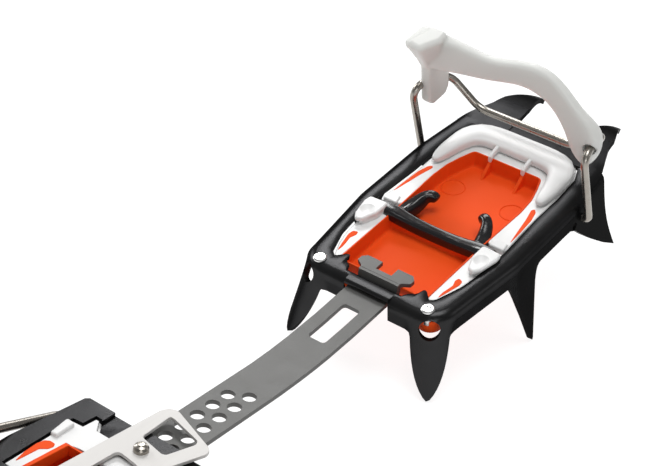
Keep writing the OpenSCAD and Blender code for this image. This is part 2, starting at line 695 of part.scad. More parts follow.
module clip_plate() {
    color([0.86, 0.85, 0.83]) heel_place() difference() {
        union() {
            translate([0, 0, clip_z]) linear_extrude(clip_t) difference() {
                polygon([[-6, clip_reach], [-9.2, clip_reach - 1], [-11, clip_reach - 4.5],
                    [-16.2, -clip_pin_y], [16.2, -clip_pin_y], [12.6, -14], [18, clip_reach - 12.2], [17.6, clip_reach - 9.8],
                    [15.8, clip_reach - 8.4]]);
                polygon([[-5.6, clip_reach - 5.6], [-4, clip_reach - 4.8], [10.6, clip_reach - 8.6],
                    [11.6, clip_reach - 10.6], [8, -7], [6.6, -7.6], [-5.2, -5.4]]);
                polygon([[-5.8, -17.2], [5.4, -18.6], [7.4, 9 - clip_pin_y], [-7.4, 9 - clip_pin_y]]);
            }
            cross_pin([0, -clip_pin_y, clip_pin_z], 2 * (lug_x - 1 - skin), clip_pin_d / 2 + 1.1);
        }
        cross_pin([0, -clip_pin_y, clip_pin_z], 60, clip_pin_d / 2 + wire_gap);
        translate([0, -11.5, clip_z - cut]) cylinder(h = 10, d = 4.4);
    }
}

module clip_stud() {
    color([0.5, 0.49, 0.47]) heel_place() translate([0, -11.5, clip_z + clip_t]) rotate_extrude()
        polygon([[0, -clip_t - sheet], [1.6, -clip_t - sheet], [2.2, -clip_t - sheet + 0.7], [2.2, 0],
            [2.9, 0], [2.9, 1.2],
            [2.4, 2.2], [1.4, 2.6], [1.2, 3], [0, 3.1]]);
}

module clip_pin() {
    color([0.7, 0.7, 0.72]) heel_place() cross_pin([0, -clip_pin_y, clip_pin_z], 2 * lug_x + 4,
        clip_pin_d / 2);
}

// Heel bail and lever

module heel_wire() {
    pivot_z = heel_top - heel_pivot_depth;
    elbow_run = 0.6 * heel_reach;
    half = [[heel_front_half_w - 4, -heel_pivot_y, pivot_z], [heel_bail_half_w, -heel_pivot_y, pivot_z],
        [heel_bail_half_w, -heel_pivot_y - elbow_run * cos(heel_slope),
            pivot_z + elbow_run * sin(heel_slope)],
        [heel_cross_half, cross_y, cross_z]];
    bend = wire_bend_r + wire_d / 2;
    tube_x = heel_bail_half_w - bend - 5 * ease;
    cross_x = heel_cross_half - 4;
    color([0.72, 0.69, 0.65]) heel_place() {
        mirrored() {
            tube(route([[tube_x, half[0].y, half[0].z], half[1], half[2], half[3], [cross_x, cross_y,
                cross_z]],
                [bend, bend, bend]), wire_d / 2);
            cross_pin([(tube_x + 4 * ease + half[0].x) / 2, half[0].y, half[0].z],
                tube_x + 4 * ease - half[0].x,
                wire_d / 2);
        }
        cross_pin([0, cross_y, cross_z], 2 * cross_x + 8 * ease, wire_d / 2);
    }
}

module lever_place() {
    heel_place() translate([0, cross_y, cross_z]) children();
}

carrier_half_w = 6.8;
carrier_half_h = 6;
carrier_back = 8.6;
carrier_front = 4.6;
adjuster_y = -5.4;
lever_front = 7.5;
lever_head = 16;
wheel_h = 5;
window_low = -carrier_half_h - lever_travel - skin;
wheel_z = window_low - 3 - wheel_h / 2;

module bail_carrier() {
    color([0.6, 0.6, 0.62]) lever_place() difference() {
        translate([-carrier_half_w, -carrier_back, -carrier_half_h])
            cube([2 * carrier_half_w, carrier_back + carrier_front, 2 * carrier_half_h]);
        cross_pin([0, 0, 0], 4 * carrier_half_w, wire_d / 2 + wire_gap);
        translate([0, adjuster_y, -2 * carrier_half_h])
            cylinder(h = 4 * carrier_half_h, d = adjuster_d + 2 * wire_gap);
    }
}

module lever_body() {
    wire_slot = wire_d / 2 + skin;
    color([0.1, 0.1, 0.11]) lever_place() difference() {
        rotate([90, 0, 90]) linear_extrude(lever_w, center = true) polygon([[-lever_back, lever_head - 4],
            [-lever_back + 4, lever_head], [lever_front - 2, lever_head], [lever_front, lever_head - 2],
                [lever_front, -20],
            [lever_front - 5, 6 - lever_len], [lever_front - 7, 1 - lever_len], [lever_front - 10,
                -lever_len],
            [lever_front - 13, 2 - lever_len], [-lever_back, -24]]);
        translate([-carrier_half_w - skin, -2 * lever_back, window_low])
            cube([2 * (carrier_half_w + skin), 4 * lever_back, carrier_half_h + skin - window_low]);
        for (z = [0, -lever_travel]) cross_pin([0, 0, z], 2 * lever_w, wire_slot);
        translate([-lever_w, -wire_slot, -lever_travel]) cube([2 * lever_w, 2 * wire_slot, lever_travel]);
        translate([0, adjuster_y, wheel_z]) cylinder(h = lever_head + 8 - wheel_z - 10,
            d = adjuster_d + 2 * wire_gap);
        translate([0, adjuster_y, wheel_z - wheel_h / 2 - skin])
            cylinder(h = wheel_h + 2 * skin, d = wheel_d + 2 * skin);
        translate([-wheel_d / 2 - skin, -2 * lever_back, wheel_z - wheel_h / 2 - skin])
            cube([wheel_d + 2 * skin, 2 * lever_back + adjuster_y, wheel_h + 2 * skin]);
        translate([-8, -2 * lever_back, 6 - lever_len]) cube([16, 4 * lever_back, 3.5]);
        for (side = [-1, 1]) translate([side * 7, 0, 11]) rotate([90, 0, 0])
            cylinder(h = 60, d = screw_d, center = true);
    }
}

module lever_cleat() {
    color([0.55, 0.55, 0.57]) lever_place() difference() {
        rotate([90, 0, 90]) linear_extrude(lever_w - 3, center = true) polygon([[lever_front, 7.4],
            [lever_front + 2, 7.4], [lever_front + 2, 12.5], [lever_front + 7, 14], [lever_front + 7, 16],
            [lever_front, 15]]);
        for (side = [-1, 1]) translate([side * 7, 0, 11]) rotate([90, 0, 0])
            cylinder(h = 60, d = screw_d, center = true);
    }
}

module lever_pins() {
    color([0.7, 0.7, 0.72]) lever_place() for (side = [-1, 1]) translate([side * 7, 0, 11])
        rotate([90, 0, 0])
        translate([0, 0, -lever_front - 2]) cylinder(h = lever_front + lever_back + 2, d = screw_d);
}

module adjuster_screw() {
    color([0.7, 0.7, 0.72]) lever_place() translate([0, adjuster_y, wheel_z])
        cylinder(h = lever_head - 4.6 - wheel_z, d = adjuster_d);
}

module thumb_wheel() {
    grip_count = 18;
    color([0.92, 0.3, 0.1]) lever_place() translate([0, adjuster_y, wheel_z]) difference() {
        cylinder(h = wheel_h, d = wheel_d, center = true);
        for (i = [0:grip_count - 1]) rotate([0, 0, i * 360 / grip_count])
            translate([wheel_d / 2 + 0.4, 0, 0])
            cylinder(h = wheel_h + cut, r = 0.8, center = true);
        cylinder(h = 2 * wheel_h, d = adjuster_d, $fn = 64);
    }
}

toe_frame();
cross_brace();
toe_plate();
arch_plate();
toe_membrane();
corner_screws();
corner_nuts();
toe_wire();
toe_strap();
link_bar();
heel_frame();
heel_plate();
heel_membrane();
heel_screws();
heel_nuts();
clip_plate();
clip_stud();
clip_pin();
heel_wire();
bail_carrier();
lever_body();
lever_cleat();
lever_pins();
adjuster_screw();
thumb_wheel();
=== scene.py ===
"""Looks of a semi-automatic crampon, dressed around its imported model.

Pieces of the toe section are drawn level in millimetres, with y = 0 at the corner screws and z = 0 at the
frame's top face, and are then tipped into place. Pieces of the heel section are drawn from the heel frame's
front edge.
"""
import math

import bpy
from mathutils import Matrix, Vector


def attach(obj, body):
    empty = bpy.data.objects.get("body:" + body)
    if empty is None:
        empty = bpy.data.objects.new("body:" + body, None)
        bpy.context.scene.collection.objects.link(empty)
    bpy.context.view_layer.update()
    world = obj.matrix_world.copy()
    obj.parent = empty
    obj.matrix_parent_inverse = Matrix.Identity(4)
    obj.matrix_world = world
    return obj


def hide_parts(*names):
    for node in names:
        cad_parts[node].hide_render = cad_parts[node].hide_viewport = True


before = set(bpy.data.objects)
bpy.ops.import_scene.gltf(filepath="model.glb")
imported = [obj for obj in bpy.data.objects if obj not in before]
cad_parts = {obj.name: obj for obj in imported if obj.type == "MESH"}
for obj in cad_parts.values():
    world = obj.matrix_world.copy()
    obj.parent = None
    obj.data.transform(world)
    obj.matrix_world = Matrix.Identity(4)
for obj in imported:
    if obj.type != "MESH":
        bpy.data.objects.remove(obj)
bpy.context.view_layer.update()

# Studio: a pale seamless floor, a broad soft light overhead and five softer panels round the object.
# The camera stands behind the right heel and looks forward and down, as for a catalogue picture.
MM = 0.001


class Tone:
    """A value on a surface. Arithmetic on it adds Math nodes to its finish."""

    def __init__(self, finish, socket):
        self.finish = finish
        self.socket = socket

    def math(self, operation, *values):
        """Adds one Math node."""
        return self.finish.node("ShaderNodeMath", {"operation": operation}, dict(enumerate(values)))

    def __add__(self, other):
        return self.math("ADD", self, other)

    def __mul__(self, other):
        return self.math("MULTIPLY", self, other)

    __radd__ = __add__
    __rmul__ = __mul__


class Finish:
    """A material made of nodes on one Principled shader."""

    def __init__(self, name):
        self.material = bpy.data.materials.new(name)
        self.material.use_nodes = True
        self.tree = self.material.node_tree
        self.shader = self.tree.nodes["Principled BSDF"]

    def feed(self, socket, value):
        """Links a tone to a socket, or sets a constant on it."""
        if isinstance(value, Tone):
            self.tree.links.new(value.socket, socket)
        else:
            socket.default_value = value

    def node(self, kind, settings, sockets, out=0):
        """Adds one node and gives back one of its outputs."""
        node = self.tree.nodes.new(kind)
        for key, value in settings.items():
            setattr(node, key, value)
        for key, value in sockets.items():
            self.feed(node.inputs[key], value)
        return Tone(self, node.outputs[out])

    def grain(self, scale, detail=3.0, stretch=(1, 1, 1)):
        """Noise that stays with the object."""
        spot = self.node("ShaderNodeTexCoord", {}, {}, "Object")
        spot = self.node("ShaderNodeMapping", {}, {"Vector": spot, "Scale": stretch})
        return self.node("ShaderNodeTexNoise", {}, {"Vector": spot, "Scale": scale, "Detail": detail})

    def between(self, share, first, second):
        """A colour that wanders between two."""
        colours = {0: share, 6: (*first, 1), 7: (*second, 1)}
        return self.node("ShaderNodeMix", {"data_type": "RGBA"}, colours, 2)

    def relief(self, height, depth):
        """A fine bump, with its depth in metres."""
        return self.node("ShaderNodeBump", {}, {"Height": height, "Strength": 0.6, "Distance": depth})

    def put(self, sockets):
        """Sets the shader's sockets."""
        for key, value in sockets.items():
            self.feed(self.shader.inputs[key], value)
        return self.material


bpy.ops.mesh.primitive_plane_add(size=8, location=(0, 0, -0.0004))
floor = bpy.context.object
floor.name = "studio_floor"
paper = Finish("pale_paper")
mottle = paper.grain(6)
paper.put({
    "Base Color": paper.between(mottle, (0.25, 0.25, 0.25), (0.27, 0.27, 0.27)), "Roughness": 0.9,
    "Emission Color": (1, 1, 1, 1), "Emission Strength": 0.85, "Specular IOR Level": 0.1,
})
floor.data.materials.append(paper.material)

world = bpy.context.scene.world or bpy.data.worlds.new("studio")
bpy.context.scene.world = world
world.use_nodes = True
world.node_tree.nodes["Background"].inputs["Color"].default_value = (1, 1, 1, 1)
world.node_tree.nodes["Background"].inputs["Strength"].default_value = 0.24
for label, place, aim, size, power in [
    ("overhead", (0.1, -0.05, 1.1), (0, 0.05, 0.03), 0.6, 6.8),
    ("back_panel", (-0.5, 0.95, 0.6), (0, 0.05, 0.03), 0.42, 2.6),
    ("high_panel", (-0.61, 0.66, 0.975), (0, 0.07, 0.05), 0.3, 4.5),
    ("left_panel", (-1.0, 0.1, 0.5), (0, 0.05, 0.03), 0.4, 4.0),
    ("right_panel", (0.9, 0.5, 0.5), (0, 0.1, 0.03), 0.3, 0.4),
    ("front_panel", (0.75, -0.9, 0.5), (0, 0.1, 0.05), 0.5, 2.4),
]:
    bpy.ops.object.light_add(type="AREA", location=place)
    lamp = bpy.context.object
    lamp.name = label
    lamp.data.size = size
    lamp.data.energy = power
    lamp.rotation_euler = (Vector(aim) - Vector(place)).to_track_quat("-Z", "Y").to_euler()

bpy.ops.object.camera_add()
camera = bpy.context.object
camera.data.lens = 93.12
camera.data.sensor_width = 36
camera.data.sensor_fit = "HORIZONTAL"
TIP_BACK, TIP_DEPTH, TOE_RISE, PIVOT_Y = 13 * MM, 36.6 * MM, math.radians(11), 31.0057 * MM
toe_place = (Matrix.Translation((0, PIVOT_Y, 0)) @ Matrix.Rotation(TOE_RISE, 4, "X")
             @ Matrix.Translation((0, TIP_BACK, TIP_DEPTH)))
sight = Matrix(((0.7905, -0.3721, 0.4864, 313.68 * MM), (0.6118, 0.5159, -0.5996, -416.16 * MM),
                (-0.0279, 0.7715, 0.6355, 456.8 * MM), (0, 0, 0, 1)))
camera.matrix_world = toe_place @ sight
bpy.context.scene.camera = camera
bpy.context.scene.view_settings.view_transform = "Standard"

# Toe frame: one pressing of chromoly sheet, 2.5 mm thick, with every edge bent down into walls and points.
# It is powder coated satin black. The front points run on from its top, the others from its walls.
SHEET = 2.5
toe_black = Finish("satin_black_coat")
coat_grain = toe_black.grain(1400, detail=2)
scuffs = toe_black.grain(90, detail=5)
toe_black.put({
    "Base Color": toe_black.between(scuffs, (0.024, 0.024, 0.0245), (0.04, 0.04, 0.041)),
    "Roughness": 0.24 + 0.1 * scuffs, "Metallic": 0.9, "Specular IOR Level": 0.1,
    "Specular Tint": (0.05, 0.05, 0.05, 1),
    "Normal": toe_black.relief(coat_grain, 0.00005),
})


def only(piece):
    """Selects one piece and makes it active."""
    bpy.ops.object.select_all(action="DESELECT")
    piece.select_set(True)
    bpy.context.view_layer.objects.active = piece


def along(table, at):
    """Reads a value between the rows of a table."""
    for (a, u), (b, v) in zip(table, table[1:]):
        if min(a, b) <= at <= max(a, b):
            return u + (v - u) * (at - a) / (b - a)
    return table[0][1] if abs(at - table[0][0]) < abs(at - table[-1][0]) else table[-1][1]


def added(primitive, at=(0, 0, 0), **settings):
    """A new primitive, alone in the selection, at a place in millimetres."""
    bpy.ops.object.select_all(action="DESELECT")
    primitive(**settings)
    piece = bpy.context.object
    piece.data.transform(Matrix.Translation(Vector(at) * MM))
    return piece


def drawn_sheet(name, rows):
    """A grid whose points are set row by row, in millimetres, with its face turned up."""
    sheet = added(bpy.ops.mesh.primitive_grid_add, x_subdivisions=len(rows[0]) - 1,
                  y_subdivisions=len(rows) - 1)
    sheet.name = name
    for vertex, point in zip(sheet.data.vertices, [p for row in rows for p in row]):
        vertex.co = Vector(point) * MM
    if sum(face.normal.z * face.area for face in sheet.data.polygons) < 0:
        sheet.data.flip_normals()
    return sheet


def shaped(piece, kind, **settings):
    """Adds one modifier and applies it."""
    only(piece)
    modifier = piece.modifiers.new(kind.lower(), kind)
    for key, value in settings.items():
        setattr(modifier, key, value)
    bpy.ops.object.modifier_apply(modifier=modifier.name)


def eased(piece, width, segments=3, angle=35):
    """Rounds every edge that turns by more than an angle."""
    shaped(piece, "BEVEL", width=width * MM, segments=segments, limit_method="ANGLE",
           angle_limit=math.radians(angle), harden_normals=False)


def smoothed(piece, angle=38):
    """Shades a piece smooth and keeps its sharp edges."""
    only(piece)
    bpy.ops.object.shade_smooth_by_angle(angle=math.radians(angle))
    shaped(piece, "WEIGHTED_NORMAL", keep_sharp=True)


def cut_by(piece, cutter, solver="FAST"):
    """Cuts one piece with another and removes the cutter."""
    shaped(piece, "BOOLEAN", object=cutter, operation="DIFFERENCE", solver=solver)
    bpy.data.objects.remove(cutter)


def drill(piece, at, axis, radius, depth, solver="FAST"):
    """Cuts a round hole, given in millimetres in the piece's own drawing."""
    bit = added(bpy.ops.mesh.primitive_cylinder_add, vertices=32, radius=radius * MM, depth=depth * MM)
    turn = Vector(axis).to_track_quat("Z", "Y").to_matrix().to_4x4()
    bit.data.transform(Matrix.Translation(Vector(at) * MM) @ turn)
    cut_by(piece, bit, solver)


def joined(name, pieces):
    """Joins pieces into the first of them."""
    only(pieces[0])
    for piece in pieces:
        piece.select_set(True)
    bpy.ops.object.join()
    pieces[0].name = name
    return pieces[0]


def fitted(piece, place, finish, body, slot, *nodes):
    """Sets a drawn piece in its place, gives it its finish and hangs it on its body."""
    piece.data.transform(place)
    piece.data.materials.clear()
    piece.data.materials.append(finish.material)
    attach(piece, body)
    if nodes:
        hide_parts(*nodes)


def pressed(name, rows):
    """A bent sheet from rows of points, given its thickness inwards."""
    sheet = drawn_sheet(name, rows)
    shaped(sheet, "SOLIDIFY", thickness=SHEET * MM, offset=-1)
    return sheet


EDGE_DROP, WALL_ROWS = -0.7, 9
CROWN = [(0.2, 0.28), (0.55, 0.3)]


def bent_column(inner, outer, inward, bend, foot, bow=0.0):
    """One column of a pressing: inner edge, top, quarter round, and a wall down to its foot."""
    turn = Vector((outer[0] + inward[0] * bend, outer[1] + inward[1] * bend, 0))
    edge = Vector((*inner, EDGE_DROP))
    column = [edge, *[edge.lerp(turn, share) + Vector((0, 0, rise)) for share, rise in CROWN], turn]
    for step in (22.5, 45, 67.5):
        a = math.radians(step)
        column.append(Vector((outer[0] + inward[0] * bend * (1 - math.sin(a)),
                              outer[1] + inward[1] * bend * (1 - math.sin(a)), -bend * (1 - math.cos(a)))))
    start = Vector((*outer, -bend))
    for k in range(WALL_ROWS + 1):
        v = k / WALL_ROWS
        column.append(start.lerp(Vector(foot), v) + Vector((0, bow * math.sin(math.pi * v), 0)))
    return column


TOE_FRONT, REAR_Y = 128, -5
TOE_SIDE = [(TOE_FRONT, 38.4), (92, 42), (47, 42), (8, 37.4)]
RAIL_IN = [(121.5, 20), (118, 27), (109, 30.6), (94, 31.6), (77, 31.5), (50, 32.8), (34, 32), (22, 30.8),
           (5.5, 25.5)]
SECOND_EDGE = [(88, -10.5), (92.7, -13.2), (101, -21.5), (112, -31.6), (123, -41), (135, -50)]
THIRD_EDGE = [(64, 10.5), (62.7, 10.9), (61.5, 11.8), (60.5, 13.8), (59.6, 18), (59.1, 25), (58.6, 33),
              (58.1, 41), (57.6, 49), (57, 50), (56.4, 49.2), (50, 32), (45, 20), (43.2, 15.5), (41.5, 12),
              (40, 10.5)]
SECOND_REAR, SECOND_RUN, SECOND_BOW, FRONT_TAPER = 88, 33, -2.6, 0.1
POINT_DEPTH, SECOND_SPLAY, THIRD_SPLAY = 50, 2.3, 2.5
CORNER = Vector((24.4, 8))
CORNER_IN = Vector((26.4, 8.2)), Vector((24.2, 6.2))
CORNER_R, WALL, BEND = 13, 10.5, 4.6
BLADE_HALF, BLADE_TURN, BLADE_LEAN, BLADE_TAPER = 11, math.radians(31), 0.348, 1.28


def blade_foot(outer, outward, across):
    """The foot of a rear corner's wall, which runs out to a point."""
    share = min(abs(across) / BLADE_HALF, 1)
    depth = max(WALL, TIP_DEPTH / MM * (1 - share ** BLADE_TAPER))
    spread = (depth - BEND) * BLADE_LEAN * (1 - share ** 2)
    return (outer[0] + outward[0] * spread, outer[1] + outward[1] * spread, -depth)


right_half = []
for k in range(25):
    y = SECOND_REAR + SECOND_RUN - SECOND_RUN * k / 24
    u = (y - SECOND_REAR) / SECOND_RUN
    foot_y, foot_z = [along([(i / 5, p[n]) for i, p in enumerate(SECOND_EDGE)], u) for n in (0, 1)]
    past_front = max(foot_y - TOE_FRONT, 0)
    foot_x = along(TOE_SIDE, min(foot_y, TOE_FRONT)) - past_front * FRONT_TAPER
    foot_x += SECOND_SPLAY * (foot_z / POINT_DEPTH) ** 2
    inner, outer = (along(RAIL_IN, y), y), (along(TOE_SIDE, y), y)
    right_half.append(bent_column(inner, outer, (-1, 0), BEND, (foot_x, foot_y, foot_z), SECOND_BOW * u * u))
side_ys = [84, 80, 76, 72, 68] + [p[0] for p in THIRD_EDGE[:11]]
side_ys += [55, 53.5, 52, 50, 48.3, 46.6, 45, 43.2, 41.5, 40, 36, 32, 28, 24, 20, 16, 12]
for y in side_ys:
    depth = along(THIRD_EDGE, y)
    foot = (along(TOE_SIDE, y) + THIRD_SPLAY * (depth - WALL) / (POINT_DEPTH - WALL), y, -depth)
    right_half.append(bent_column((along(RAIL_IN, y), y), (along(TOE_SIDE, y), y), (-1, 0), BEND, foot))
for k in range(25):
    a = math.radians(90 - 3.75 * k)
    outward = (math.sin(a), -math.cos(a))
    outer = (CORNER.x + CORNER_R * outward[0], CORNER.y + CORNER_R * outward[1])
    inner = CORNER_IN[0].lerp(CORNER_IN[1], k / 24)
    foot = blade_foot(outer, outward, (a - BLADE_TURN) * CORNER_R)
    right_half.append(bent_column(inner, outer, (-outward[0], -outward[1]), BEND, foot))
REAR_IN = [(24.2, 6.2), (20.8, 9.8), (19.8, 10.4), (19, 10.2), (18.6, 9.2), (18.3, 7.4), (17.4, 6), (16, 5.2),
           (14.8, 4.2), (13.9, 1.8), (0, 1.8)]
for x in (23.4, 22.6, 21.6, 20.8, 19.8, 19, 18.6, 18.3, 17.4, 16.7, 16, 15.4, 14.8, 14.3, 13.9, 12.6, 11.4):
    across = -BLADE_TURN * CORNER_R - (CORNER.x - x)
    outer = (x, REAR_Y)
    foot = blade_foot(outer, (0, -1), across)
    right_half.append(bent_column((x, along(REAR_IN, x)), outer, (0, 1), BEND, foot))
STRIP_IN, STRIP_OUT, STRIP_BEND, STRIP_WALL = 1.8, -4.6, 1.5, -1.7
for x in (11.1, 8, 5, 2.5, 0):
    foot = (x, STRIP_OUT, STRIP_WALL)
    right_half.append(bent_column((x, STRIP_IN), (x, STRIP_OUT), (0, 1), STRIP_BEND, foot))
left_half = [[Vector((-p.x, p.y, p.z)) for p in column] for column in right_half[-2::-1]]
pressing = pressed("toe_pressing", list(zip(*right_half, *left_half)))
STRIP_HALF, STRIP_REACH, STRIP_FOOT = 11.3, 3, -2.5
for corner in pressing.data.vertices:
    if abs(corner.co.x) < STRIP_HALF * MM and corner.co.y < STRIP_REACH * MM:
        corner.co.z = max(corner.co.z, STRIP_FOOT * MM)
SHEET_EDGE = {"width": 0.35, "segments": 2, "angle": 50}
eased(pressing, **SHEET_EDGE)
BAIL_HOLES, BAIL_Z, BAIL_HOLE_R, WALL_X, BIT_LENGTH = (91.5, 99, 106.5), -10, 1.8, 40, 14
EYE_OUT, EYE_Z, EYE_TILT, EYE_R = 14, -6.4, 0.16, 4.5
for side in (-1, 1):
    for y in BAIL_HOLES:
        drill(pressing, (side * WALL_X, y, BAIL_Z), (1, 0, 0), BAIL_HOLE_R, BIT_LENGTH)
    out = Vector((side * math.sin(BLADE_TURN), -math.cos(BLADE_TURN), 0))
    eye = (side * CORNER.x + out.x * EYE_OUT, CORNER.y + out.y * EYE_OUT, EYE_Z)
    drill(pressing, eye, out + Vector((0, 0, EYE_TILT)), EYE_R, BIT_LENGTH)

POINT_IN = [(118, 13.2), (122, 13), (132, 13.4), (144, 14.6), (152, 16.6), (161, 19), (168, 20.6)]
POINT_OUT = [(118, 38.2), (122, 37.4), (131, 33.6), (138, 31), (146, 29.6), (153, 27), (161, 23.4), (168, 21)]
POINT_ROOT, POINT_LENGTH, CURL_FROM, CURL_R = 118, 50, 138, 44.6
POINT_SET, SHOULDER_END, SHOULDER_RUN = 0.06, 132, 10
blades = []
for side in (-1, 1):
    rows = []
    for k in range(26):
        y = POINT_ROOT + POINT_LENGTH * k / 25
        drop = CURL_R * (1 - math.cos(math.asin(max(y - CURL_FROM, 0) / CURL_R)))
        low, high = along(POINT_IN, y), along(POINT_OUT, y)
        row = []
        for n in range(9):
            x = low + (high - low) * n / 8
            past_bend = max(x - along(TOE_SIDE, min(y, TOE_FRONT)) + BEND, 0)
            shoulder = past_bend ** 2 / (2 * BEND) * min(max((SHOULDER_END - y) / SHOULDER_RUN, 0), 1)
            row.append(Vector((side * x, y, -POINT_SET - drop - shoulder)))
        rows.append(row)
    blade = pressed("front_point", rows)
    eased(blade, **SHEET_EDGE)
    blades.append(blade)
SILL_Z = -0.5
sill_rows = [[Vector((x, y, SILL_Z)) for x in (-20, -10, 0, 10, 20)] for y in (121.5, 124, 126, 128)]
sill = pressed("front_sill", sill_rows)
eased(sill, **SHEET_EDGE)
pressing = joined("toe_frame_pressing", [pressing, *blades, sill])
smoothed(pressing, angle=42)
fitted(pressing, toe_place, toe_black, "toe_section", "black_steel", "toe_frame")

# Cross brace: a gloss black moulding across the rails, with two upright hooks that stop the boot sole.
# Its foot runs from rail to rail and is pressed down between the two white plates.
brace_gloss = Finish("gloss_black_moulding")
brace_haze = brace_gloss.grain(60, detail=3)
brace_gloss.put({
    "Base Color": (0.008, 0.008, 0.009, 1), "Roughness": 0.12 + 0.12 * brace_haze,
    "Specular IOR Level": 0.45,
})


def swept(name, stations):
    """A solid through cross sections, each a ring of the same number of points, closed at both ends."""
    tube = drawn_sheet(name, [[*ring, ring[0]] for ring in stations])
    only(tube)
    bpy.ops.object.mode_set(mode="EDIT")
    bpy.ops.mesh.select_all(action="SELECT")
    bpy.ops.mesh.remove_doubles(threshold=0.000001)
    bpy.ops.mesh.fill_holes(sides=0)
    bpy.ops.mesh.select_all(action="SELECT")
    bpy.ops.mesh.normals_make_consistent(inside=False)
    bpy.ops.object.mode_set(mode="OBJECT")
    return tube


def oblong(centre, across, up, width, height, count=16, power=0.55):
    """One rounded ring for a swept solid."""
    ring = []
    for k in range(count):
        a = 2 * math.pi * (k + 0.5) / count
        c, s = math.cos(a), math.sin(a)
        ring.append(Vector(centre) + Vector(across) * (math.copysign(abs(c) ** power, c) * width / 2)
                    + Vector(up) * (math.copysign(abs(s) ** power, s) * height / 2))
    return ring


def moulded(piece, grid, rounds):
    """Runs overlapping forms into one skin with soft inner corners."""
    shaped(piece, "REMESH", mode="VOXEL", voxel_size=grid * MM)
    shaped(piece, "SMOOTH", factor=0.5, iterations=rounds)
    smoothed(piece, angle=60)


BRACE_Y = 45
foot_line = [(32.5, -1.4, 5, 5), (27, -1.6, 6.4, 5.6), (22, -2, 7.6, 6), (17, -2.8, 7, 6),
             (10, -3.6, 6.2, 6), (0, -3.8, 6, 6)]
foot_line += [(-x, z, wide, tall) for x, z, wide, tall in foot_line[-2::-1]]
brace_parts = [swept("brace_foot", [oblong((x, BRACE_Y, z), (0, 1, 0), (0, 0, 1), wide, tall)
                                    for x, z, wide, tall in foot_line])]
HOOK = [((20.8, 47.4, -3.2), (-0.2, 0.9, -0.1), 5.6, 7), ((19.8, 50.5, -4.6), (-0.2, 0.95, 0.1), 7.4, 7.4),
        ((18, 56, -3.6), (-0.28, 0.9, 0.35), 7.2, 6.2), ((16.8, 60, -1.7), (-0.4, 0.75, 0.5), 6.4, 5.6),
        ((15, 62.4, -0.4), (-0.85, 0.45, 0.1), 5.4, 5.2), ((12.8, 63.4, -0.8), (-0.95, 0.15, -0.3), 5, 5),
        ((11, 63.7, -2.2), (-0.8, 0, -0.6), 4.2, 4.6)]
for side in (-1, 1):
    rings = []
    for centre, (run_x, run_y, run_z), tall, thick in HOOK:
        run = Vector((run_x * side, run_y, run_z)).normalized()
        across = Vector((0.3 * side, 0, 0.95)).cross(run).normalized()
        rings.append(oblong((side * centre[0], *centre[1:]), across, run.cross(across), thick, tall))
    brace_parts.append(swept("brace_hook", rings))
brace = joined("cross_brace_moulding", brace_parts)
shaped(brace, "SUBSURF", levels=1)
moulded(brace, grid=0.5, rounds=5)
fitted(brace, toe_place, brace_gloss, "toe_section", "brace_black", "cross_brace")

# Front anti-balling plate: bright white moulding clipped inside the frame, with a raised rounded bolster.
# Orange inlays, on its band and on the rear plate's, are the membrane showing through.
white_plastic = Finish("white_moulding")
white_haze = white_plastic.grain(45, detail=3)
white_plastic.put({
    "Base Color": white_plastic.between(white_haze, (0.69, 0.69, 0.685), (0.75, 0.75, 0.745)),
    "Roughness": 0.32 + 0.1 * white_haze,
})
orange_rubber = Finish("orange_membrane")
orange_haze = orange_rubber.grain(35, detail=4)
orange_rubber.put({
    "Base Color": orange_rubber.between(orange_haze, (0.76, 0.068, 0.007), (0.82, 0.084, 0.01)),
    "Roughness": 0.5 + 0.12 * orange_haze, "Specular IOR Level": 0.1,
})


def rounded_outline(points, radius, steps=4):
    """An outline with each corner replaced by an arc, smaller where its edges are short."""
    out = []
    for i, point in enumerate(points):
        here = Vector(point)
        back = Vector(points[i - 1]) - here
        ahead = Vector(points[(i + 1) % len(points)]) - here
        turn = back.angle(ahead)
        reach = min(radius / math.tan(turn / 2), back.length * 0.45, ahead.length * 0.45)
        start, end = here + back.normalized() * reach, here + ahead.normalized() * reach
        shares = [k / steps for k in range(steps + 1)]
        out += [start.lerp(here, t).lerp(here.lerp(end, t), t) for t in shares]
    return [(p.x, p.y) for p in out]


def both_sides(points):
    """Closes an outline given for the right side, from its rear to its front."""
    return points + [(-x, y) for x, y in reversed(points)]


def on_side(side, points):
    """An outline given for the right side, carried to either side."""
    return [(side * x, y) for x, y in points]


def drawn_plate(name, outline, low, high, edge=0.0, segments=3):
    """A flat plate from an outline in millimetres, with eased edges."""
    plate = added(bpy.ops.mesh.primitive_circle_add, vertices=len(outline), fill_type="NGON")
    plate.name = name
    for vertex, (x, y) in zip(plate.data.vertices, outline):
        vertex.co = (x * MM, y * MM, low * MM)
    bpy.ops.object.mode_set(mode="EDIT")
    bpy.ops.mesh.select_all(action="SELECT")
    bpy.ops.mesh.extrude_region_move(TRANSFORM_OT_translate={"value": (0, 0, (high - low) * MM)})
    bpy.ops.mesh.select_all(action="SELECT")
    bpy.ops.mesh.normals_make_consistent(inside=False)
    bpy.ops.object.mode_set(mode="OBJECT")
    if edge:
        eased(plate, edge, segments)
    return plate


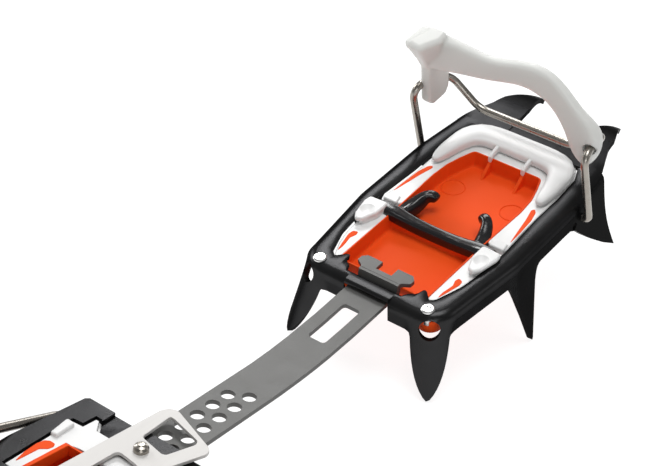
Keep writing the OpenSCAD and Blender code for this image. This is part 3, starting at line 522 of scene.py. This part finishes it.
BAND_TOP, BAND_LOW, INLAY_LOW, INLAY_PROUD = -1.5, -4.6, -3, 0.14
WINDOW = [(22.3, 51.6), (22.8, 66), (23.1, 77), (22.3, 87), (20.2, 95), (17.6, 102)]
BAND = [(32.2, 50.6), (31.2, 64), (30.9, 77), (31, 94), (30, 109), (26.6, 117.6), (19.6, 121.1)]
ring_line = both_sides(BAND)
ring_line += [(-x, y) for x, y in WINDOW] + [(x, y) for x, y in reversed(WINDOW)]
plate_parts = [drawn_plate("front_band", rounded_outline(ring_line, 2.0), BAND_LOW, BAND_TOP, edge=0.6)]
LIP = [((27.4, 83.4), 3.4, 3.2), ((27.2, 88.5), 6.2, 4.4), ((26.9, 94), 7.8, 5.2), ((26, 100.5), 9, 5.4),
       ((25, 107), 12, 5.4), ((21.2, 112.4), 14.8, 5.4), ((14, 113.8), 13.6, 5.4), ((6, 113.8), 13.4, 5.4),
       ((0, 113.7), 13.4, 5.4)]
LIP_Z, RIB_X, RIB_WIDE, RIB_TALL = 0.7, 8.6, 1.8, 3
RIB = [(100.8, -1.4), (103, 0), (107, 1.2)]
BAND_FOOT = [(24, 50.2), (31.6, 50.2), (31, 55), (25.2, 55.6)]
lip_line = LIP + [((-x, y), wide, tall) for (x, y), wide, tall in LIP[-2::-1]]
lip_rings = []
for i, ((x, y), wide, tall) in enumerate(lip_line):
    ahead, behind = lip_line[min(i + 1, len(lip_line) - 1)][0], lip_line[max(i - 1, 0)][0]
    across = Vector((behind[1] - ahead[1], ahead[0] - behind[0], 0)).normalized()
    lip_rings.append(oblong((x, y, LIP_Z), across, (0, 0, 1), wide, tall, count=20, power=0.6))
lip = swept("bolster", lip_rings)
shaped(lip, "SUBSURF", levels=1)
plate_parts.append(lip)
for side in (-1, 1):
    rib_rings = [oblong((side * RIB_X, y, z), (1, 0, 0), (0, 0, 1), RIB_WIDE, RIB_TALL) for y, z in RIB]
    plate_parts.append(swept("bolster_rib", rib_rings))
    outline = rounded_outline(on_side(side, BAND_FOOT), 1.2)
    plate_parts.append(drawn_plate("band_foot", outline, INLAY_LOW, high=-0.6, edge=0.8))
front_plate = joined("toe_plate_moulding", plate_parts)
smoothed(front_plate, angle=50)
fitted(front_plate, toe_place, white_plastic, "toe_section", "white_plastic", "toe_plate")

INLAYS = [
    [(30.9, 54.6), (30.5, 66), (29.9, 75), (28.6, 80.4), (27, 82.4), (26, 80.8), (27.6, 74), (28.9, 66)],
    [(25.7, 9.5), (27.2, 15), (28.7, 22), (28.3, 24.4), (26, 25.4), (25.5, 23.2), (26.5, 20), (25.5, 14)],
]
inlays = []
for side in (-1, 1):
    for line in INLAYS:
        outline = rounded_outline(on_side(side, line), 1.2)
        inlays.append(drawn_plate("inlay", outline, INLAY_LOW, BAND_TOP + INLAY_PROUD, edge=0.3))
inlay = joined("orange_inlays", inlays)
smoothed(inlay)
fitted(inlay, toe_place, orange_rubber, "toe_section", "orange_rubber")

# Rear anti-balling plate: the same white moulding behind the brace, a band along each rail.
# Each band has an ear that hooks over the rail, with a shallow dimple moulded in its top.
ARCH_BAND = [(22.4, 7.5), (25.1, 6.8), (28.6, 15), (30.2, 22), (31.4, 33), (31.9, 41.6), (22.4, 41.6)]
EAR = [(24.6, 45.4), (34, 44.8), (34.5, 41), (32.7, 32), (30.4, 28.4), (27.4, 29.6), (24.6, 37)]
EAR_STEM = [(24.6, 45), (30.6, 44.6), (31, 41), (30.4, 33), (29.4, 29.6), (27.4, 30.4), (24.8, 37)]
DIMPLE_AT, DIMPLE_R = (29.4, 36.6, 7.2), 6
arch_parts = []
for side in (-1, 1):
    band = rounded_outline(on_side(side, ARCH_BAND), 1.2)
    arch_parts.append(drawn_plate("arch_band", band, BAND_LOW, BAND_TOP, edge=0.6))
    outline = rounded_outline(on_side(side, EAR), 1.6)
    ear = drawn_plate("ear", outline, low=0.04, high=2.4, edge=1.0, segments=4)
    ball = added(bpy.ops.mesh.primitive_uv_sphere_add, (side * DIMPLE_AT[0], *DIMPLE_AT[1:]), segments=32,
                 ring_count=16, radius=DIMPLE_R * MM)
    cut_by(ear, ball)
    arch_parts.append(ear)
    stem = rounded_outline(on_side(side, EAR_STEM), 1.4)
    arch_parts.append(drawn_plate("ear_stem", stem, low=-4, high=1.2, edge=0.4))
arch = joined("arch_plate_moulding", arch_parts)
smoothed(arch, angle=50)
fitted(arch, toe_place, white_plastic, "toe_section", "white_plastic", "arch_plate")

# Toe membrane: one flexible orange moulding under both white plates, hanging as two open trays.
# Small gussets stiffen its front wall, and two moulded circles show where it was pushed from the tool.


def inset_by(outline, distance):
    """An outline moved inwards."""
    turn = sum(a[0] * b[1] - b[0] * a[1] for a, b in zip(outline, outline[1:] + outline[:1]))
    moved = []
    for i, here in enumerate(outline):
        run = (Vector(outline[(i + 1) % len(outline)]) - Vector(outline[i - 1])).normalized()
        moved.append(Vector(here) + math.copysign(distance, turn) * Vector((-run.y, run.x)))
    return moved


def drawn_tray(name, outline, top, floor_z, wall, draft):
    """A tray with a thin wall, a rounded rim and a rounded foot inside."""
    inside = wall + draft
    steps = [(0.5, floor_z - wall), (0.1, top - 0.3), (0.3, top), (wall - 0.2, top), (wall, top - 0.3),
             (inside - 0.4, floor_z + 1.6), (inside - 0.1, floor_z + 0.6), (inside + 0.2, floor_z + 0.15),
             (inside + 0.7, floor_z)]
    return swept(name, [[(*point, z) for point in inset_by(outline, depth)] for depth, z in steps])


FRONT_TRAY = [(22.6, 45.4), (23.1, 66), (23.4, 77), (22.6, 87), (20.5, 95), (17.9, 102.6)]
REAR_TRAY = [(22.7, 6.2), (22.7, 44.6)]
TRAY_FLOOR, TRAY_RIM, TRAY_WALL, TRAY_DRAFT = -8.6, BAND_TOP + 0.2, 0.9, 0.7
UPRIGHT = Matrix(((0, 0, 1, 0), (1, 0, 0, 0), (0, 1, 0, 0), (0, 0, 0, 1)))
GUSSET = [(93.5, TRAY_FLOOR - 0.2), (102, TRAY_FLOOR - 0.2), (102, -2)]
GUSSET_X, GUSSET_HALF = 8.6, 0.8
CIRCLE_X, CIRCLE_Y, CIRCLE_R, CIRCLE_RISE = 15.6, 82, 5.4, 0.3
BOSS_X, BOSS_Y, BOSS_Z, BOSS_R, BOSS_TALL = 26.6, 3.8, -7.8, 5.4, 5.8
REAR_LUG = [(10.8, -3.4), (14, -3.4), (14, 4), (10.8, 4)]
membrane_parts = []
for name, line in (("front_tray", FRONT_TRAY), ("rear_tray", REAR_TRAY)):
    outline = rounded_outline(both_sides(line), 3)
    membrane_parts.append(drawn_tray(name, outline, TRAY_RIM, TRAY_FLOOR, TRAY_WALL, TRAY_DRAFT))
for side in (-1, 1):
    low, high = side * GUSSET_X - GUSSET_HALF, side * GUSSET_X + GUSSET_HALF
    gusset = drawn_plate("gusset", GUSSET, low, high, edge=0.3)
    gusset.data.transform(UPRIGHT)
    circle = added(bpy.ops.mesh.primitive_torus_add, (side * CIRCLE_X, CIRCLE_Y, TRAY_FLOOR),
                   major_segments=48, minor_segments=8, major_radius=CIRCLE_R * MM,
                   minor_radius=CIRCLE_RISE * MM)
    boss = added(bpy.ops.mesh.primitive_cylinder_add, (side * BOSS_X, BOSS_Y, BOSS_Z), vertices=32,
                 radius=BOSS_R * MM, depth=BOSS_TALL * MM)
    lug = drawn_plate("rear_lug", on_side(side, REAR_LUG), low=-9, high=-3.2, edge=0.5)
    membrane_parts += [gusset, circle, boss, lug]
membrane = joined("toe_membrane_moulding", membrane_parts)
smoothed(membrane, angle=45)
fitted(membrane, toe_place, orange_rubber, "toe_section", "orange_rubber", "toe_membrane")

# Corner screws and nuts, heel screws and nuts, and the small pins: bright zinc, as turned.
# They keep their modelled shapes and take one brushed finish.
zinc = Finish("bright_zinc")
zinc_haze = zinc.grain(500, detail=3, stretch=(1, 1, 0.2))
zinc.put({
    "Base Color": (0.78, 0.78, 0.77, 1), "Metallic": 1.0, "Roughness": 0.22 + 0.2 * zinc_haze,
})


def dressed(finish, *names):
    """Gives modelled pieces a finish and leaves their shapes alone."""
    for name in names:
        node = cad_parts[name]
        node.data.materials.clear()
        node.data.materials.append(finish.material)


dressed(zinc, "corner_screws", "corner_nuts", "heel_screws", "heel_nuts", "clip_pin", "lever_pins",
        "adjuster_screw")

# Toe bail: one length of polished stainless wire, bent to stand up either side of the boot's toe.
# Its turned-in ends sit in the holes of the frame's side walls.
wire_steel = Finish("polished_wire")
wire_haze = wire_steel.grain(220, detail=3)
wire_steel.put({
    "Base Color": wire_steel.between(wire_haze, (0.27, 0.25, 0.22), (0.4, 0.375, 0.34)), "Metallic": 1.0,
    "Roughness": 0.2 + 0.16 * wire_haze,
})
WIRE_R = 1.75


def bent_path(points, bends, steps=8):
    """The points of a path whose corners are rounded."""
    path = [Vector(points[0])]
    for a, b, c, bend in zip(points, points[1:], points[2:], bends):
        a, b, c = Vector(a), Vector(b), Vector(c)
        back, ahead = (a - b).normalized(), (c - b).normalized()
        half_turn = back.angle(ahead) / 2
        reach = bend / math.tan(half_turn)
        centre = b + (back + ahead).normalized() * (bend / math.sin(half_turn))
        start = (b + back * reach - centre).normalized()
        end = (b + ahead * reach - centre).normalized()
        path += [centre + bend * start.slerp(end, k / steps) for k in range(steps + 1)]
    return path + [Vector(points[-1])]


def drawn_wire(name, path, radius):
    """A round wire along a path in millimetres."""
    wire = added(bpy.ops.curve.primitive_bezier_curve_add)
    wire.name = name
    curve = wire.data
    curve.splines.clear()
    spline = curve.splines.new("POLY")
    spline.points.add(len(path) - 1)
    for point, at in zip(spline.points, path):
        point.co = (*(Vector(at) * MM), 1)
    curve.dimensions = "3D"
    curve.bevel_depth = radius * MM
    curve.bevel_resolution = 6
    curve.use_fill_caps = True
    only(wire)
    bpy.ops.object.convert(target="MESH")
    wire = bpy.context.object
    smoothed(wire, angle=50)
    return wire


BAIL_Y = BAIL_HOLES[1]
BAIL = [(34, BAIL_Y, BAIL_Z), (44.6, BAIL_Y, BAIL_Z), (44.2, 90, 30), (40.4, 114, 25.5), (25, 116.3, 11.2)]
BAIL_BENDS = [2.6, 5, 8, 12]
bail_path = bent_path(BAIL + [(-x, y, z) for x, y, z in reversed(BAIL)], BAIL_BENDS + BAIL_BENDS[::-1])
toe_bail = drawn_wire("toe_bail_wire", bail_path, WIRE_R)
fitted(toe_bail, toe_place, wire_steel, "toe_bail", "wire_steel", "toe_wire")

# Toe strap: a milky, half-clear moulded band hung between the bail's two upper corners.
# Its left end is a broad tab round the wire with a head above it, its right end a bulb with a round hole.
milk = Finish("milky_strap")
milk_haze = milk.grain(30, detail=3)
milk.put({
    "Base Color": milk.between(milk_haze, (0.58, 0.585, 0.565), (0.63, 0.635, 0.615)),
    "Roughness": 0.38 + 0.12 * milk_haze, "Subsurface Weight": 0.5, "Specular IOR Level": 0.2,
    "Subsurface Radius": (0.006, 0.006, 0.006), "Subsurface Scale": 1.0,
})
STRAP = [((-41.6, 59), (-40, 40)), ((-35, 57.6), (-34, 40.3)), ((-25, 56.8), (-25, 41)),
         ((-13, 55), (-13, 43)), ((-4, 55.6), (-5, 44.7)), ((6.5, 59), (5, 47.4)), ((14, 60), (11.5, 47.6)),
         ((20, 59.2), (16.4, 46.4)), ((25.4, 56.8), (21, 44.6)), ((31.6, 51.7), (26, 40.2)),
         ((37, 45.6), (29.6, 34.6)), ((43, 41.5), (31.6, 29.5)), ((45.4, 37), (32.6, 25.6)),
         ((46, 32), (34, 22.4)), ((45.4, 26), (36, 20)), ((44, 21.6), (38.6, 18.6)),
         ((42.6, 19.4), (40.6, 18.3))]
STRAP_FAT = [(0, 96.4, 10), (1, 96.8, 8.6), (2, 98, 6), (9, 98, 5.6), (10, 98.3, 6), (11, 99, 7),
             (12, 100, 8.6), (13, 101, 9.2), (14, 101.4, 9), (15, 101.2, 8), (16, 101, 5)]
band_rings = []
for i, (top, foot) in enumerate(STRAP):
    middle, rise = (Vector(top) + Vector(foot)) / 2, Vector(top) - Vector(foot)
    depth_y, fat = [along([(row[0], row[n]) for row in STRAP_FAT], i) for n in (1, 2)]
    up = (rise.x / rise.length, 0, rise.y / rise.length)
    band_rings.append(oblong((middle.x, depth_y, middle.y), (0, 1, 0), up, fat, rise.length, count=20))
band = swept("strap_band", band_rings)
shaped(band, "SUBSURF", levels=2)
head_top = rounded_outline([(-42, 82), (-33.8, 80.6), (-29.8, 91), (-30.6, 98), (-39, 98.6)], 2)
head_foot = rounded_outline([(-43.2, 94), (-38.6, 93.4), (-36, 95.4), (-36, 100.6), (-43, 102)], 2)
HEAD_RISE = [(0, 0, 40), (0.3, 0, 45.5), (0.62, 0, 50.5), (0.88, 0, 54.8), (1, 0, 57.6), (1, 0.3, 59),
             (1, 1.3, 60)]
head_rings = []
for share, inset, z in HEAD_RISE:
    pairs = zip(head_foot, inset_by(head_top, inset))
    head_rings.append([(*Vector(low).lerp(Vector(high), share), z) for low, high in pairs])
head = swept("strap_head", head_rings)
TAB = [(82.4, 59), (83.4, 55), (93, 46.5), (95, 38), (95.6, 21), (98.5, 18), (108.5, 18.6), (111, 22),
       (111, 40), (107, 52), (97, 59.4)]
tab = drawn_plate("strap_tab", rounded_outline(TAB, 2.5), low=-43.4, high=-38, edge=1.2, segments=4)
tab.data.transform(UPRIGHT)
strap = joined("toe_strap_moulding", [band, tab, head])
moulded(strap, grid=0.6, rounds=6)
HOLE_AT, HOLE_RUN, HOLE_R, HOLE_DEPTH = (42.5, 98, 28.5), (-0.16, 1, -0.19), 2.9, 13
drill(strap, HOLE_AT, HOLE_RUN, HOLE_R, HOLE_DEPTH, solver="EXACT")
smoothed(strap, angle=55)
fitted(strap, toe_place, milk, "toe_bail", "strap_plastic", "toe_strap")

# Link bar: a strip of spring steel in a matte grey coat, bowed from the toe frame down to the heel frame.
# Its hammer head hooks into the toe frame, and its two rows of holes set the length.
bar_steel = Finish("matte_grey_bar")
bar_haze = bar_steel.grain(160, detail=4)
bar_grain = bar_steel.grain(1800, detail=2)
bar_steel.put({
    "Base Color": bar_steel.between(bar_haze, (0.078, 0.078, 0.075), (0.11, 0.109, 0.105)), "Metallic": 0.35,
    "Roughness": 0.42 + 0.14 * bar_haze, "Normal": bar_steel.relief(bar_grain, 0.00004),
})


def softened(name, width, segments=2, angle=35):
    """A copy of a modelled piece with its edges eased."""
    shape = bpy.data.objects.new(name + "_eased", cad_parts[name].data.copy())
    bpy.context.scene.collection.objects.link(shape)
    only(shape)
    bpy.ops.object.mode_set(mode="EDIT")
    bpy.ops.mesh.select_all(action="SELECT")
    bpy.ops.mesh.customdata_custom_splitnormals_clear()
    bpy.ops.mesh.remove_doubles(threshold=0.00001)
    bpy.ops.mesh.dissolve_limited(angle_limit=math.radians(2))
    bpy.ops.object.mode_set(mode="OBJECT")
    eased(shape, width, segments, angle)
    smoothed(shape)
    return shape


unmoved = Matrix.Identity(4)
bar = softened("link_bar", width=0.25)
fitted(bar, unmoved, bar_steel, "link_bar", "bar_steel", "link_bar")

# Heel frame: the same satin black pressing as the toe frame, with four shorter points.
# Only its front left corner shows from the camera.
heel_shell = softened("heel_frame", width=0.7, segments=3)
HEEL_TOP, HEEL_Y = 29.005, -90.494
heel_place = Matrix.Translation((0, HEEL_Y * MM, HEEL_TOP * MM))
STEP = [(13, 1), (23.4, 1), (23.4, -7), (20.4, -11.4), (13, -11.4)]
for side in (-1, 1):
    step = drawn_plate("step", on_side(side, STEP), low=-1.5, high=3)
    step.data.transform(heel_place)
    cut_by(heel_shell, step)
smoothed(heel_shell)
fitted(heel_shell, unmoved, toe_black, "heel_section", "black_steel", "heel_frame")

# Heel plates and membrane: white bands along the heel frame's rails over an orange tray.
# They repeat the toe section's mouldings.
heel_bands = softened("heel_plate", width=0.5)
HEEL_EDGE = [(24.3, -24.4), (26.3, -47.6)]
HEEL_GAP = HEEL_EDGE + [(13, -47.6), (13, -24.4)]
HEEL_RIM = HEEL_EDGE + [(24.4, -47.6), (22.4, -25)]
HEEL_EAR = [(28.4, -25), (31.6, -25.4), (33, -15), (28.6, -15.4)]
HEEL_BRIDGE = [(-13.9, -24.2), (13.9, -24.2), (13.9, -15.8), (-13.9, -15.8)]
heel_whites = [drawn_plate("heel_bridge", HEEL_BRIDGE, low=-2.1, high=-0.55, edge=0.3)]
for side in (-1, 1):
    gap = drawn_plate("heel_gap", on_side(side, HEEL_GAP), low=-6, high=1)
    gap.data.transform(heel_place)
    cut_by(heel_bands, gap)
    outline = rounded_outline(on_side(side, HEEL_EAR), 1.2)
    heel_whites.append(drawn_plate("heel_ear", outline, low=-2, high=1.1, edge=0.8, segments=4))
for white in heel_whites:
    white.data.transform(heel_place)
heel_bands = joined("heel_plate_moulding", [heel_bands] + heel_whites)
smoothed(heel_bands)
fitted(heel_bands, unmoved, white_plastic, "heel_section", "white_plastic", "heel_plate")
HEEL_DROP = [(29.6, -45.6), (31.2, -38), (31.5, -32), (30.8, -29), (29, -27.6), (26.4, -27.6), (25.6, -29.4),
             (26.2, -31.6), (28.4, -33.6)]
HEEL_LINING = [(13.9, -24.3), (23.6, -24.3), (23.6, -25), (13.9, -25)]
heel_inlays = []
for side in (-1, 1):
    outline = rounded_outline(on_side(side, HEEL_DROP), 1.4)
    heel_inlays.append(drawn_plate("heel_inlay", outline, low=-2, high=-0.3, edge=0.3))
    heel_inlays.append(drawn_plate("heel_rim", on_side(side, HEEL_RIM), low=-5, high=-0.3, edge=0.3))
    heel_inlays.append(drawn_plate("heel_lining", on_side(side, HEEL_LINING), low=-5, high=-0.6))
heel_inlay = joined("heel_orange_inlays", heel_inlays)
smoothed(heel_inlay)
fitted(heel_inlay, heel_place, orange_rubber, "heel_section", "orange_rubber")
heel_tray = softened("heel_membrane", width=0.4)
fitted(heel_tray, unmoved, orange_rubber, "heel_section", "orange_rubber", "heel_membrane")

# Length clip: a stamped plate of satin stainless steel, hinged at its tail on a pin across the heel frame.
# Two windows lighten it, and a domed stud is set between them.
clip_steel = Finish("satin_clip_steel")
clip_haze = clip_steel.grain(700, detail=3, stretch=(1, 0.05, 1))
clip_steel.put({
    "Base Color": (0.6, 0.587, 0.57, 1), "Metallic": 0.3, "Roughness": 0.55 + 0.15 * clip_haze,
})
CLIP_LOW, CLIP_HIGH = 0.4, 1.9
PIN_Y, PIN_Z, PIN_BORE_R, BORE_LENGTH, KNUCKLE_R, KNUCKLE_W = -52, 2.8, 1.65, 40, 2.4, 33
CLIP = [(-6, 15.2), (-9.6, 14), (-11, 10.7), (-16.2, PIN_Y), (16.2, PIN_Y), (12.6, -14), (18.2, 3),
        (17.6, 5.4), (15.8, 6.8)]
CLIP_WINDOWS = [
    [(-5.8, 10.6), (-3.6, 10.4), (10.8, 6.6), (11.8, 4.6), (8, -7.2), (6.4, -7.8), (-5.2, -5.4)],
    [(-5.8, -17.2), (5.4, -18.6), (7.4, -43), (-7.4, -43)],
]
clip = drawn_plate("clip_plate_stamping", rounded_outline(CLIP, 3), CLIP_LOW, CLIP_HIGH)
for line in CLIP_WINDOWS:
    cut_by(clip, drawn_plate("clip_window", rounded_outline(line, 2.2), CLIP_LOW - 1, CLIP_HIGH + 1))
eased(clip, width=0.25, segments=2)
knuckle = added(bpy.ops.mesh.primitive_cylinder_add, vertices=32, radius=KNUCKLE_R * MM, depth=KNUCKLE_W * MM,
                rotation=(0, math.pi / 2, 0))
bpy.ops.object.transform_apply(location=False, rotation=True, scale=False)
knuckle.data.transform(Matrix.Translation(Vector((0, PIN_Y, PIN_Z)) * MM))
for clip_part in (clip, knuckle):
    drill(clip_part, (0, PIN_Y, PIN_Z), (1, 0, 0), PIN_BORE_R, BORE_LENGTH, solver="EXACT")
clip = joined("clip_plate_stamping", [clip, knuckle])
smoothed(clip)
fitted(clip, heel_place, clip_steel, "length_clip", "clip_steel", "clip_plate")
dressed(wire_steel, "clip_stud")

# Heel bail: one length of the same stainless wire as the toe bail, laid back behind the heel.
# Its turned-in ends sit in the heel frame's side walls, and its cross wire carries the lever.
heel_bail = softened("heel_wire", width=0.05, segments=1, angle=60)
smoothed(heel_bail, angle=60)
fitted(heel_bail, unmoved, wire_steel, "heel_bail", "wire_steel", "heel_wire")

# Heel lever: a black grained moulding on a carrier block, with a steel cleat held by two pins.
# A thumb wheel on a screw moves it along the carrier to set the tension.
lever_black = Finish("black_lever_moulding")
lever_haze = lever_black.grain(70, detail=3)
lever_grain = lever_black.grain(900, detail=3)
lever_black.put({
    "Base Color": lever_black.between(lever_haze, (0.014, 0.014, 0.015), (0.026, 0.026, 0.027)),
    "Roughness": 0.45 + 0.15 * lever_haze, "Normal": lever_black.relief(lever_grain, 0.0001),
})
lever = softened("lever_body", width=0.6, segments=3)
fitted(lever, unmoved, lever_black, "heel_lever", "lever_plastic", "lever_body")
dressed(lever_black, "bail_carrier", "thumb_wheel")
dressed(clip_steel, "lever_cleat")
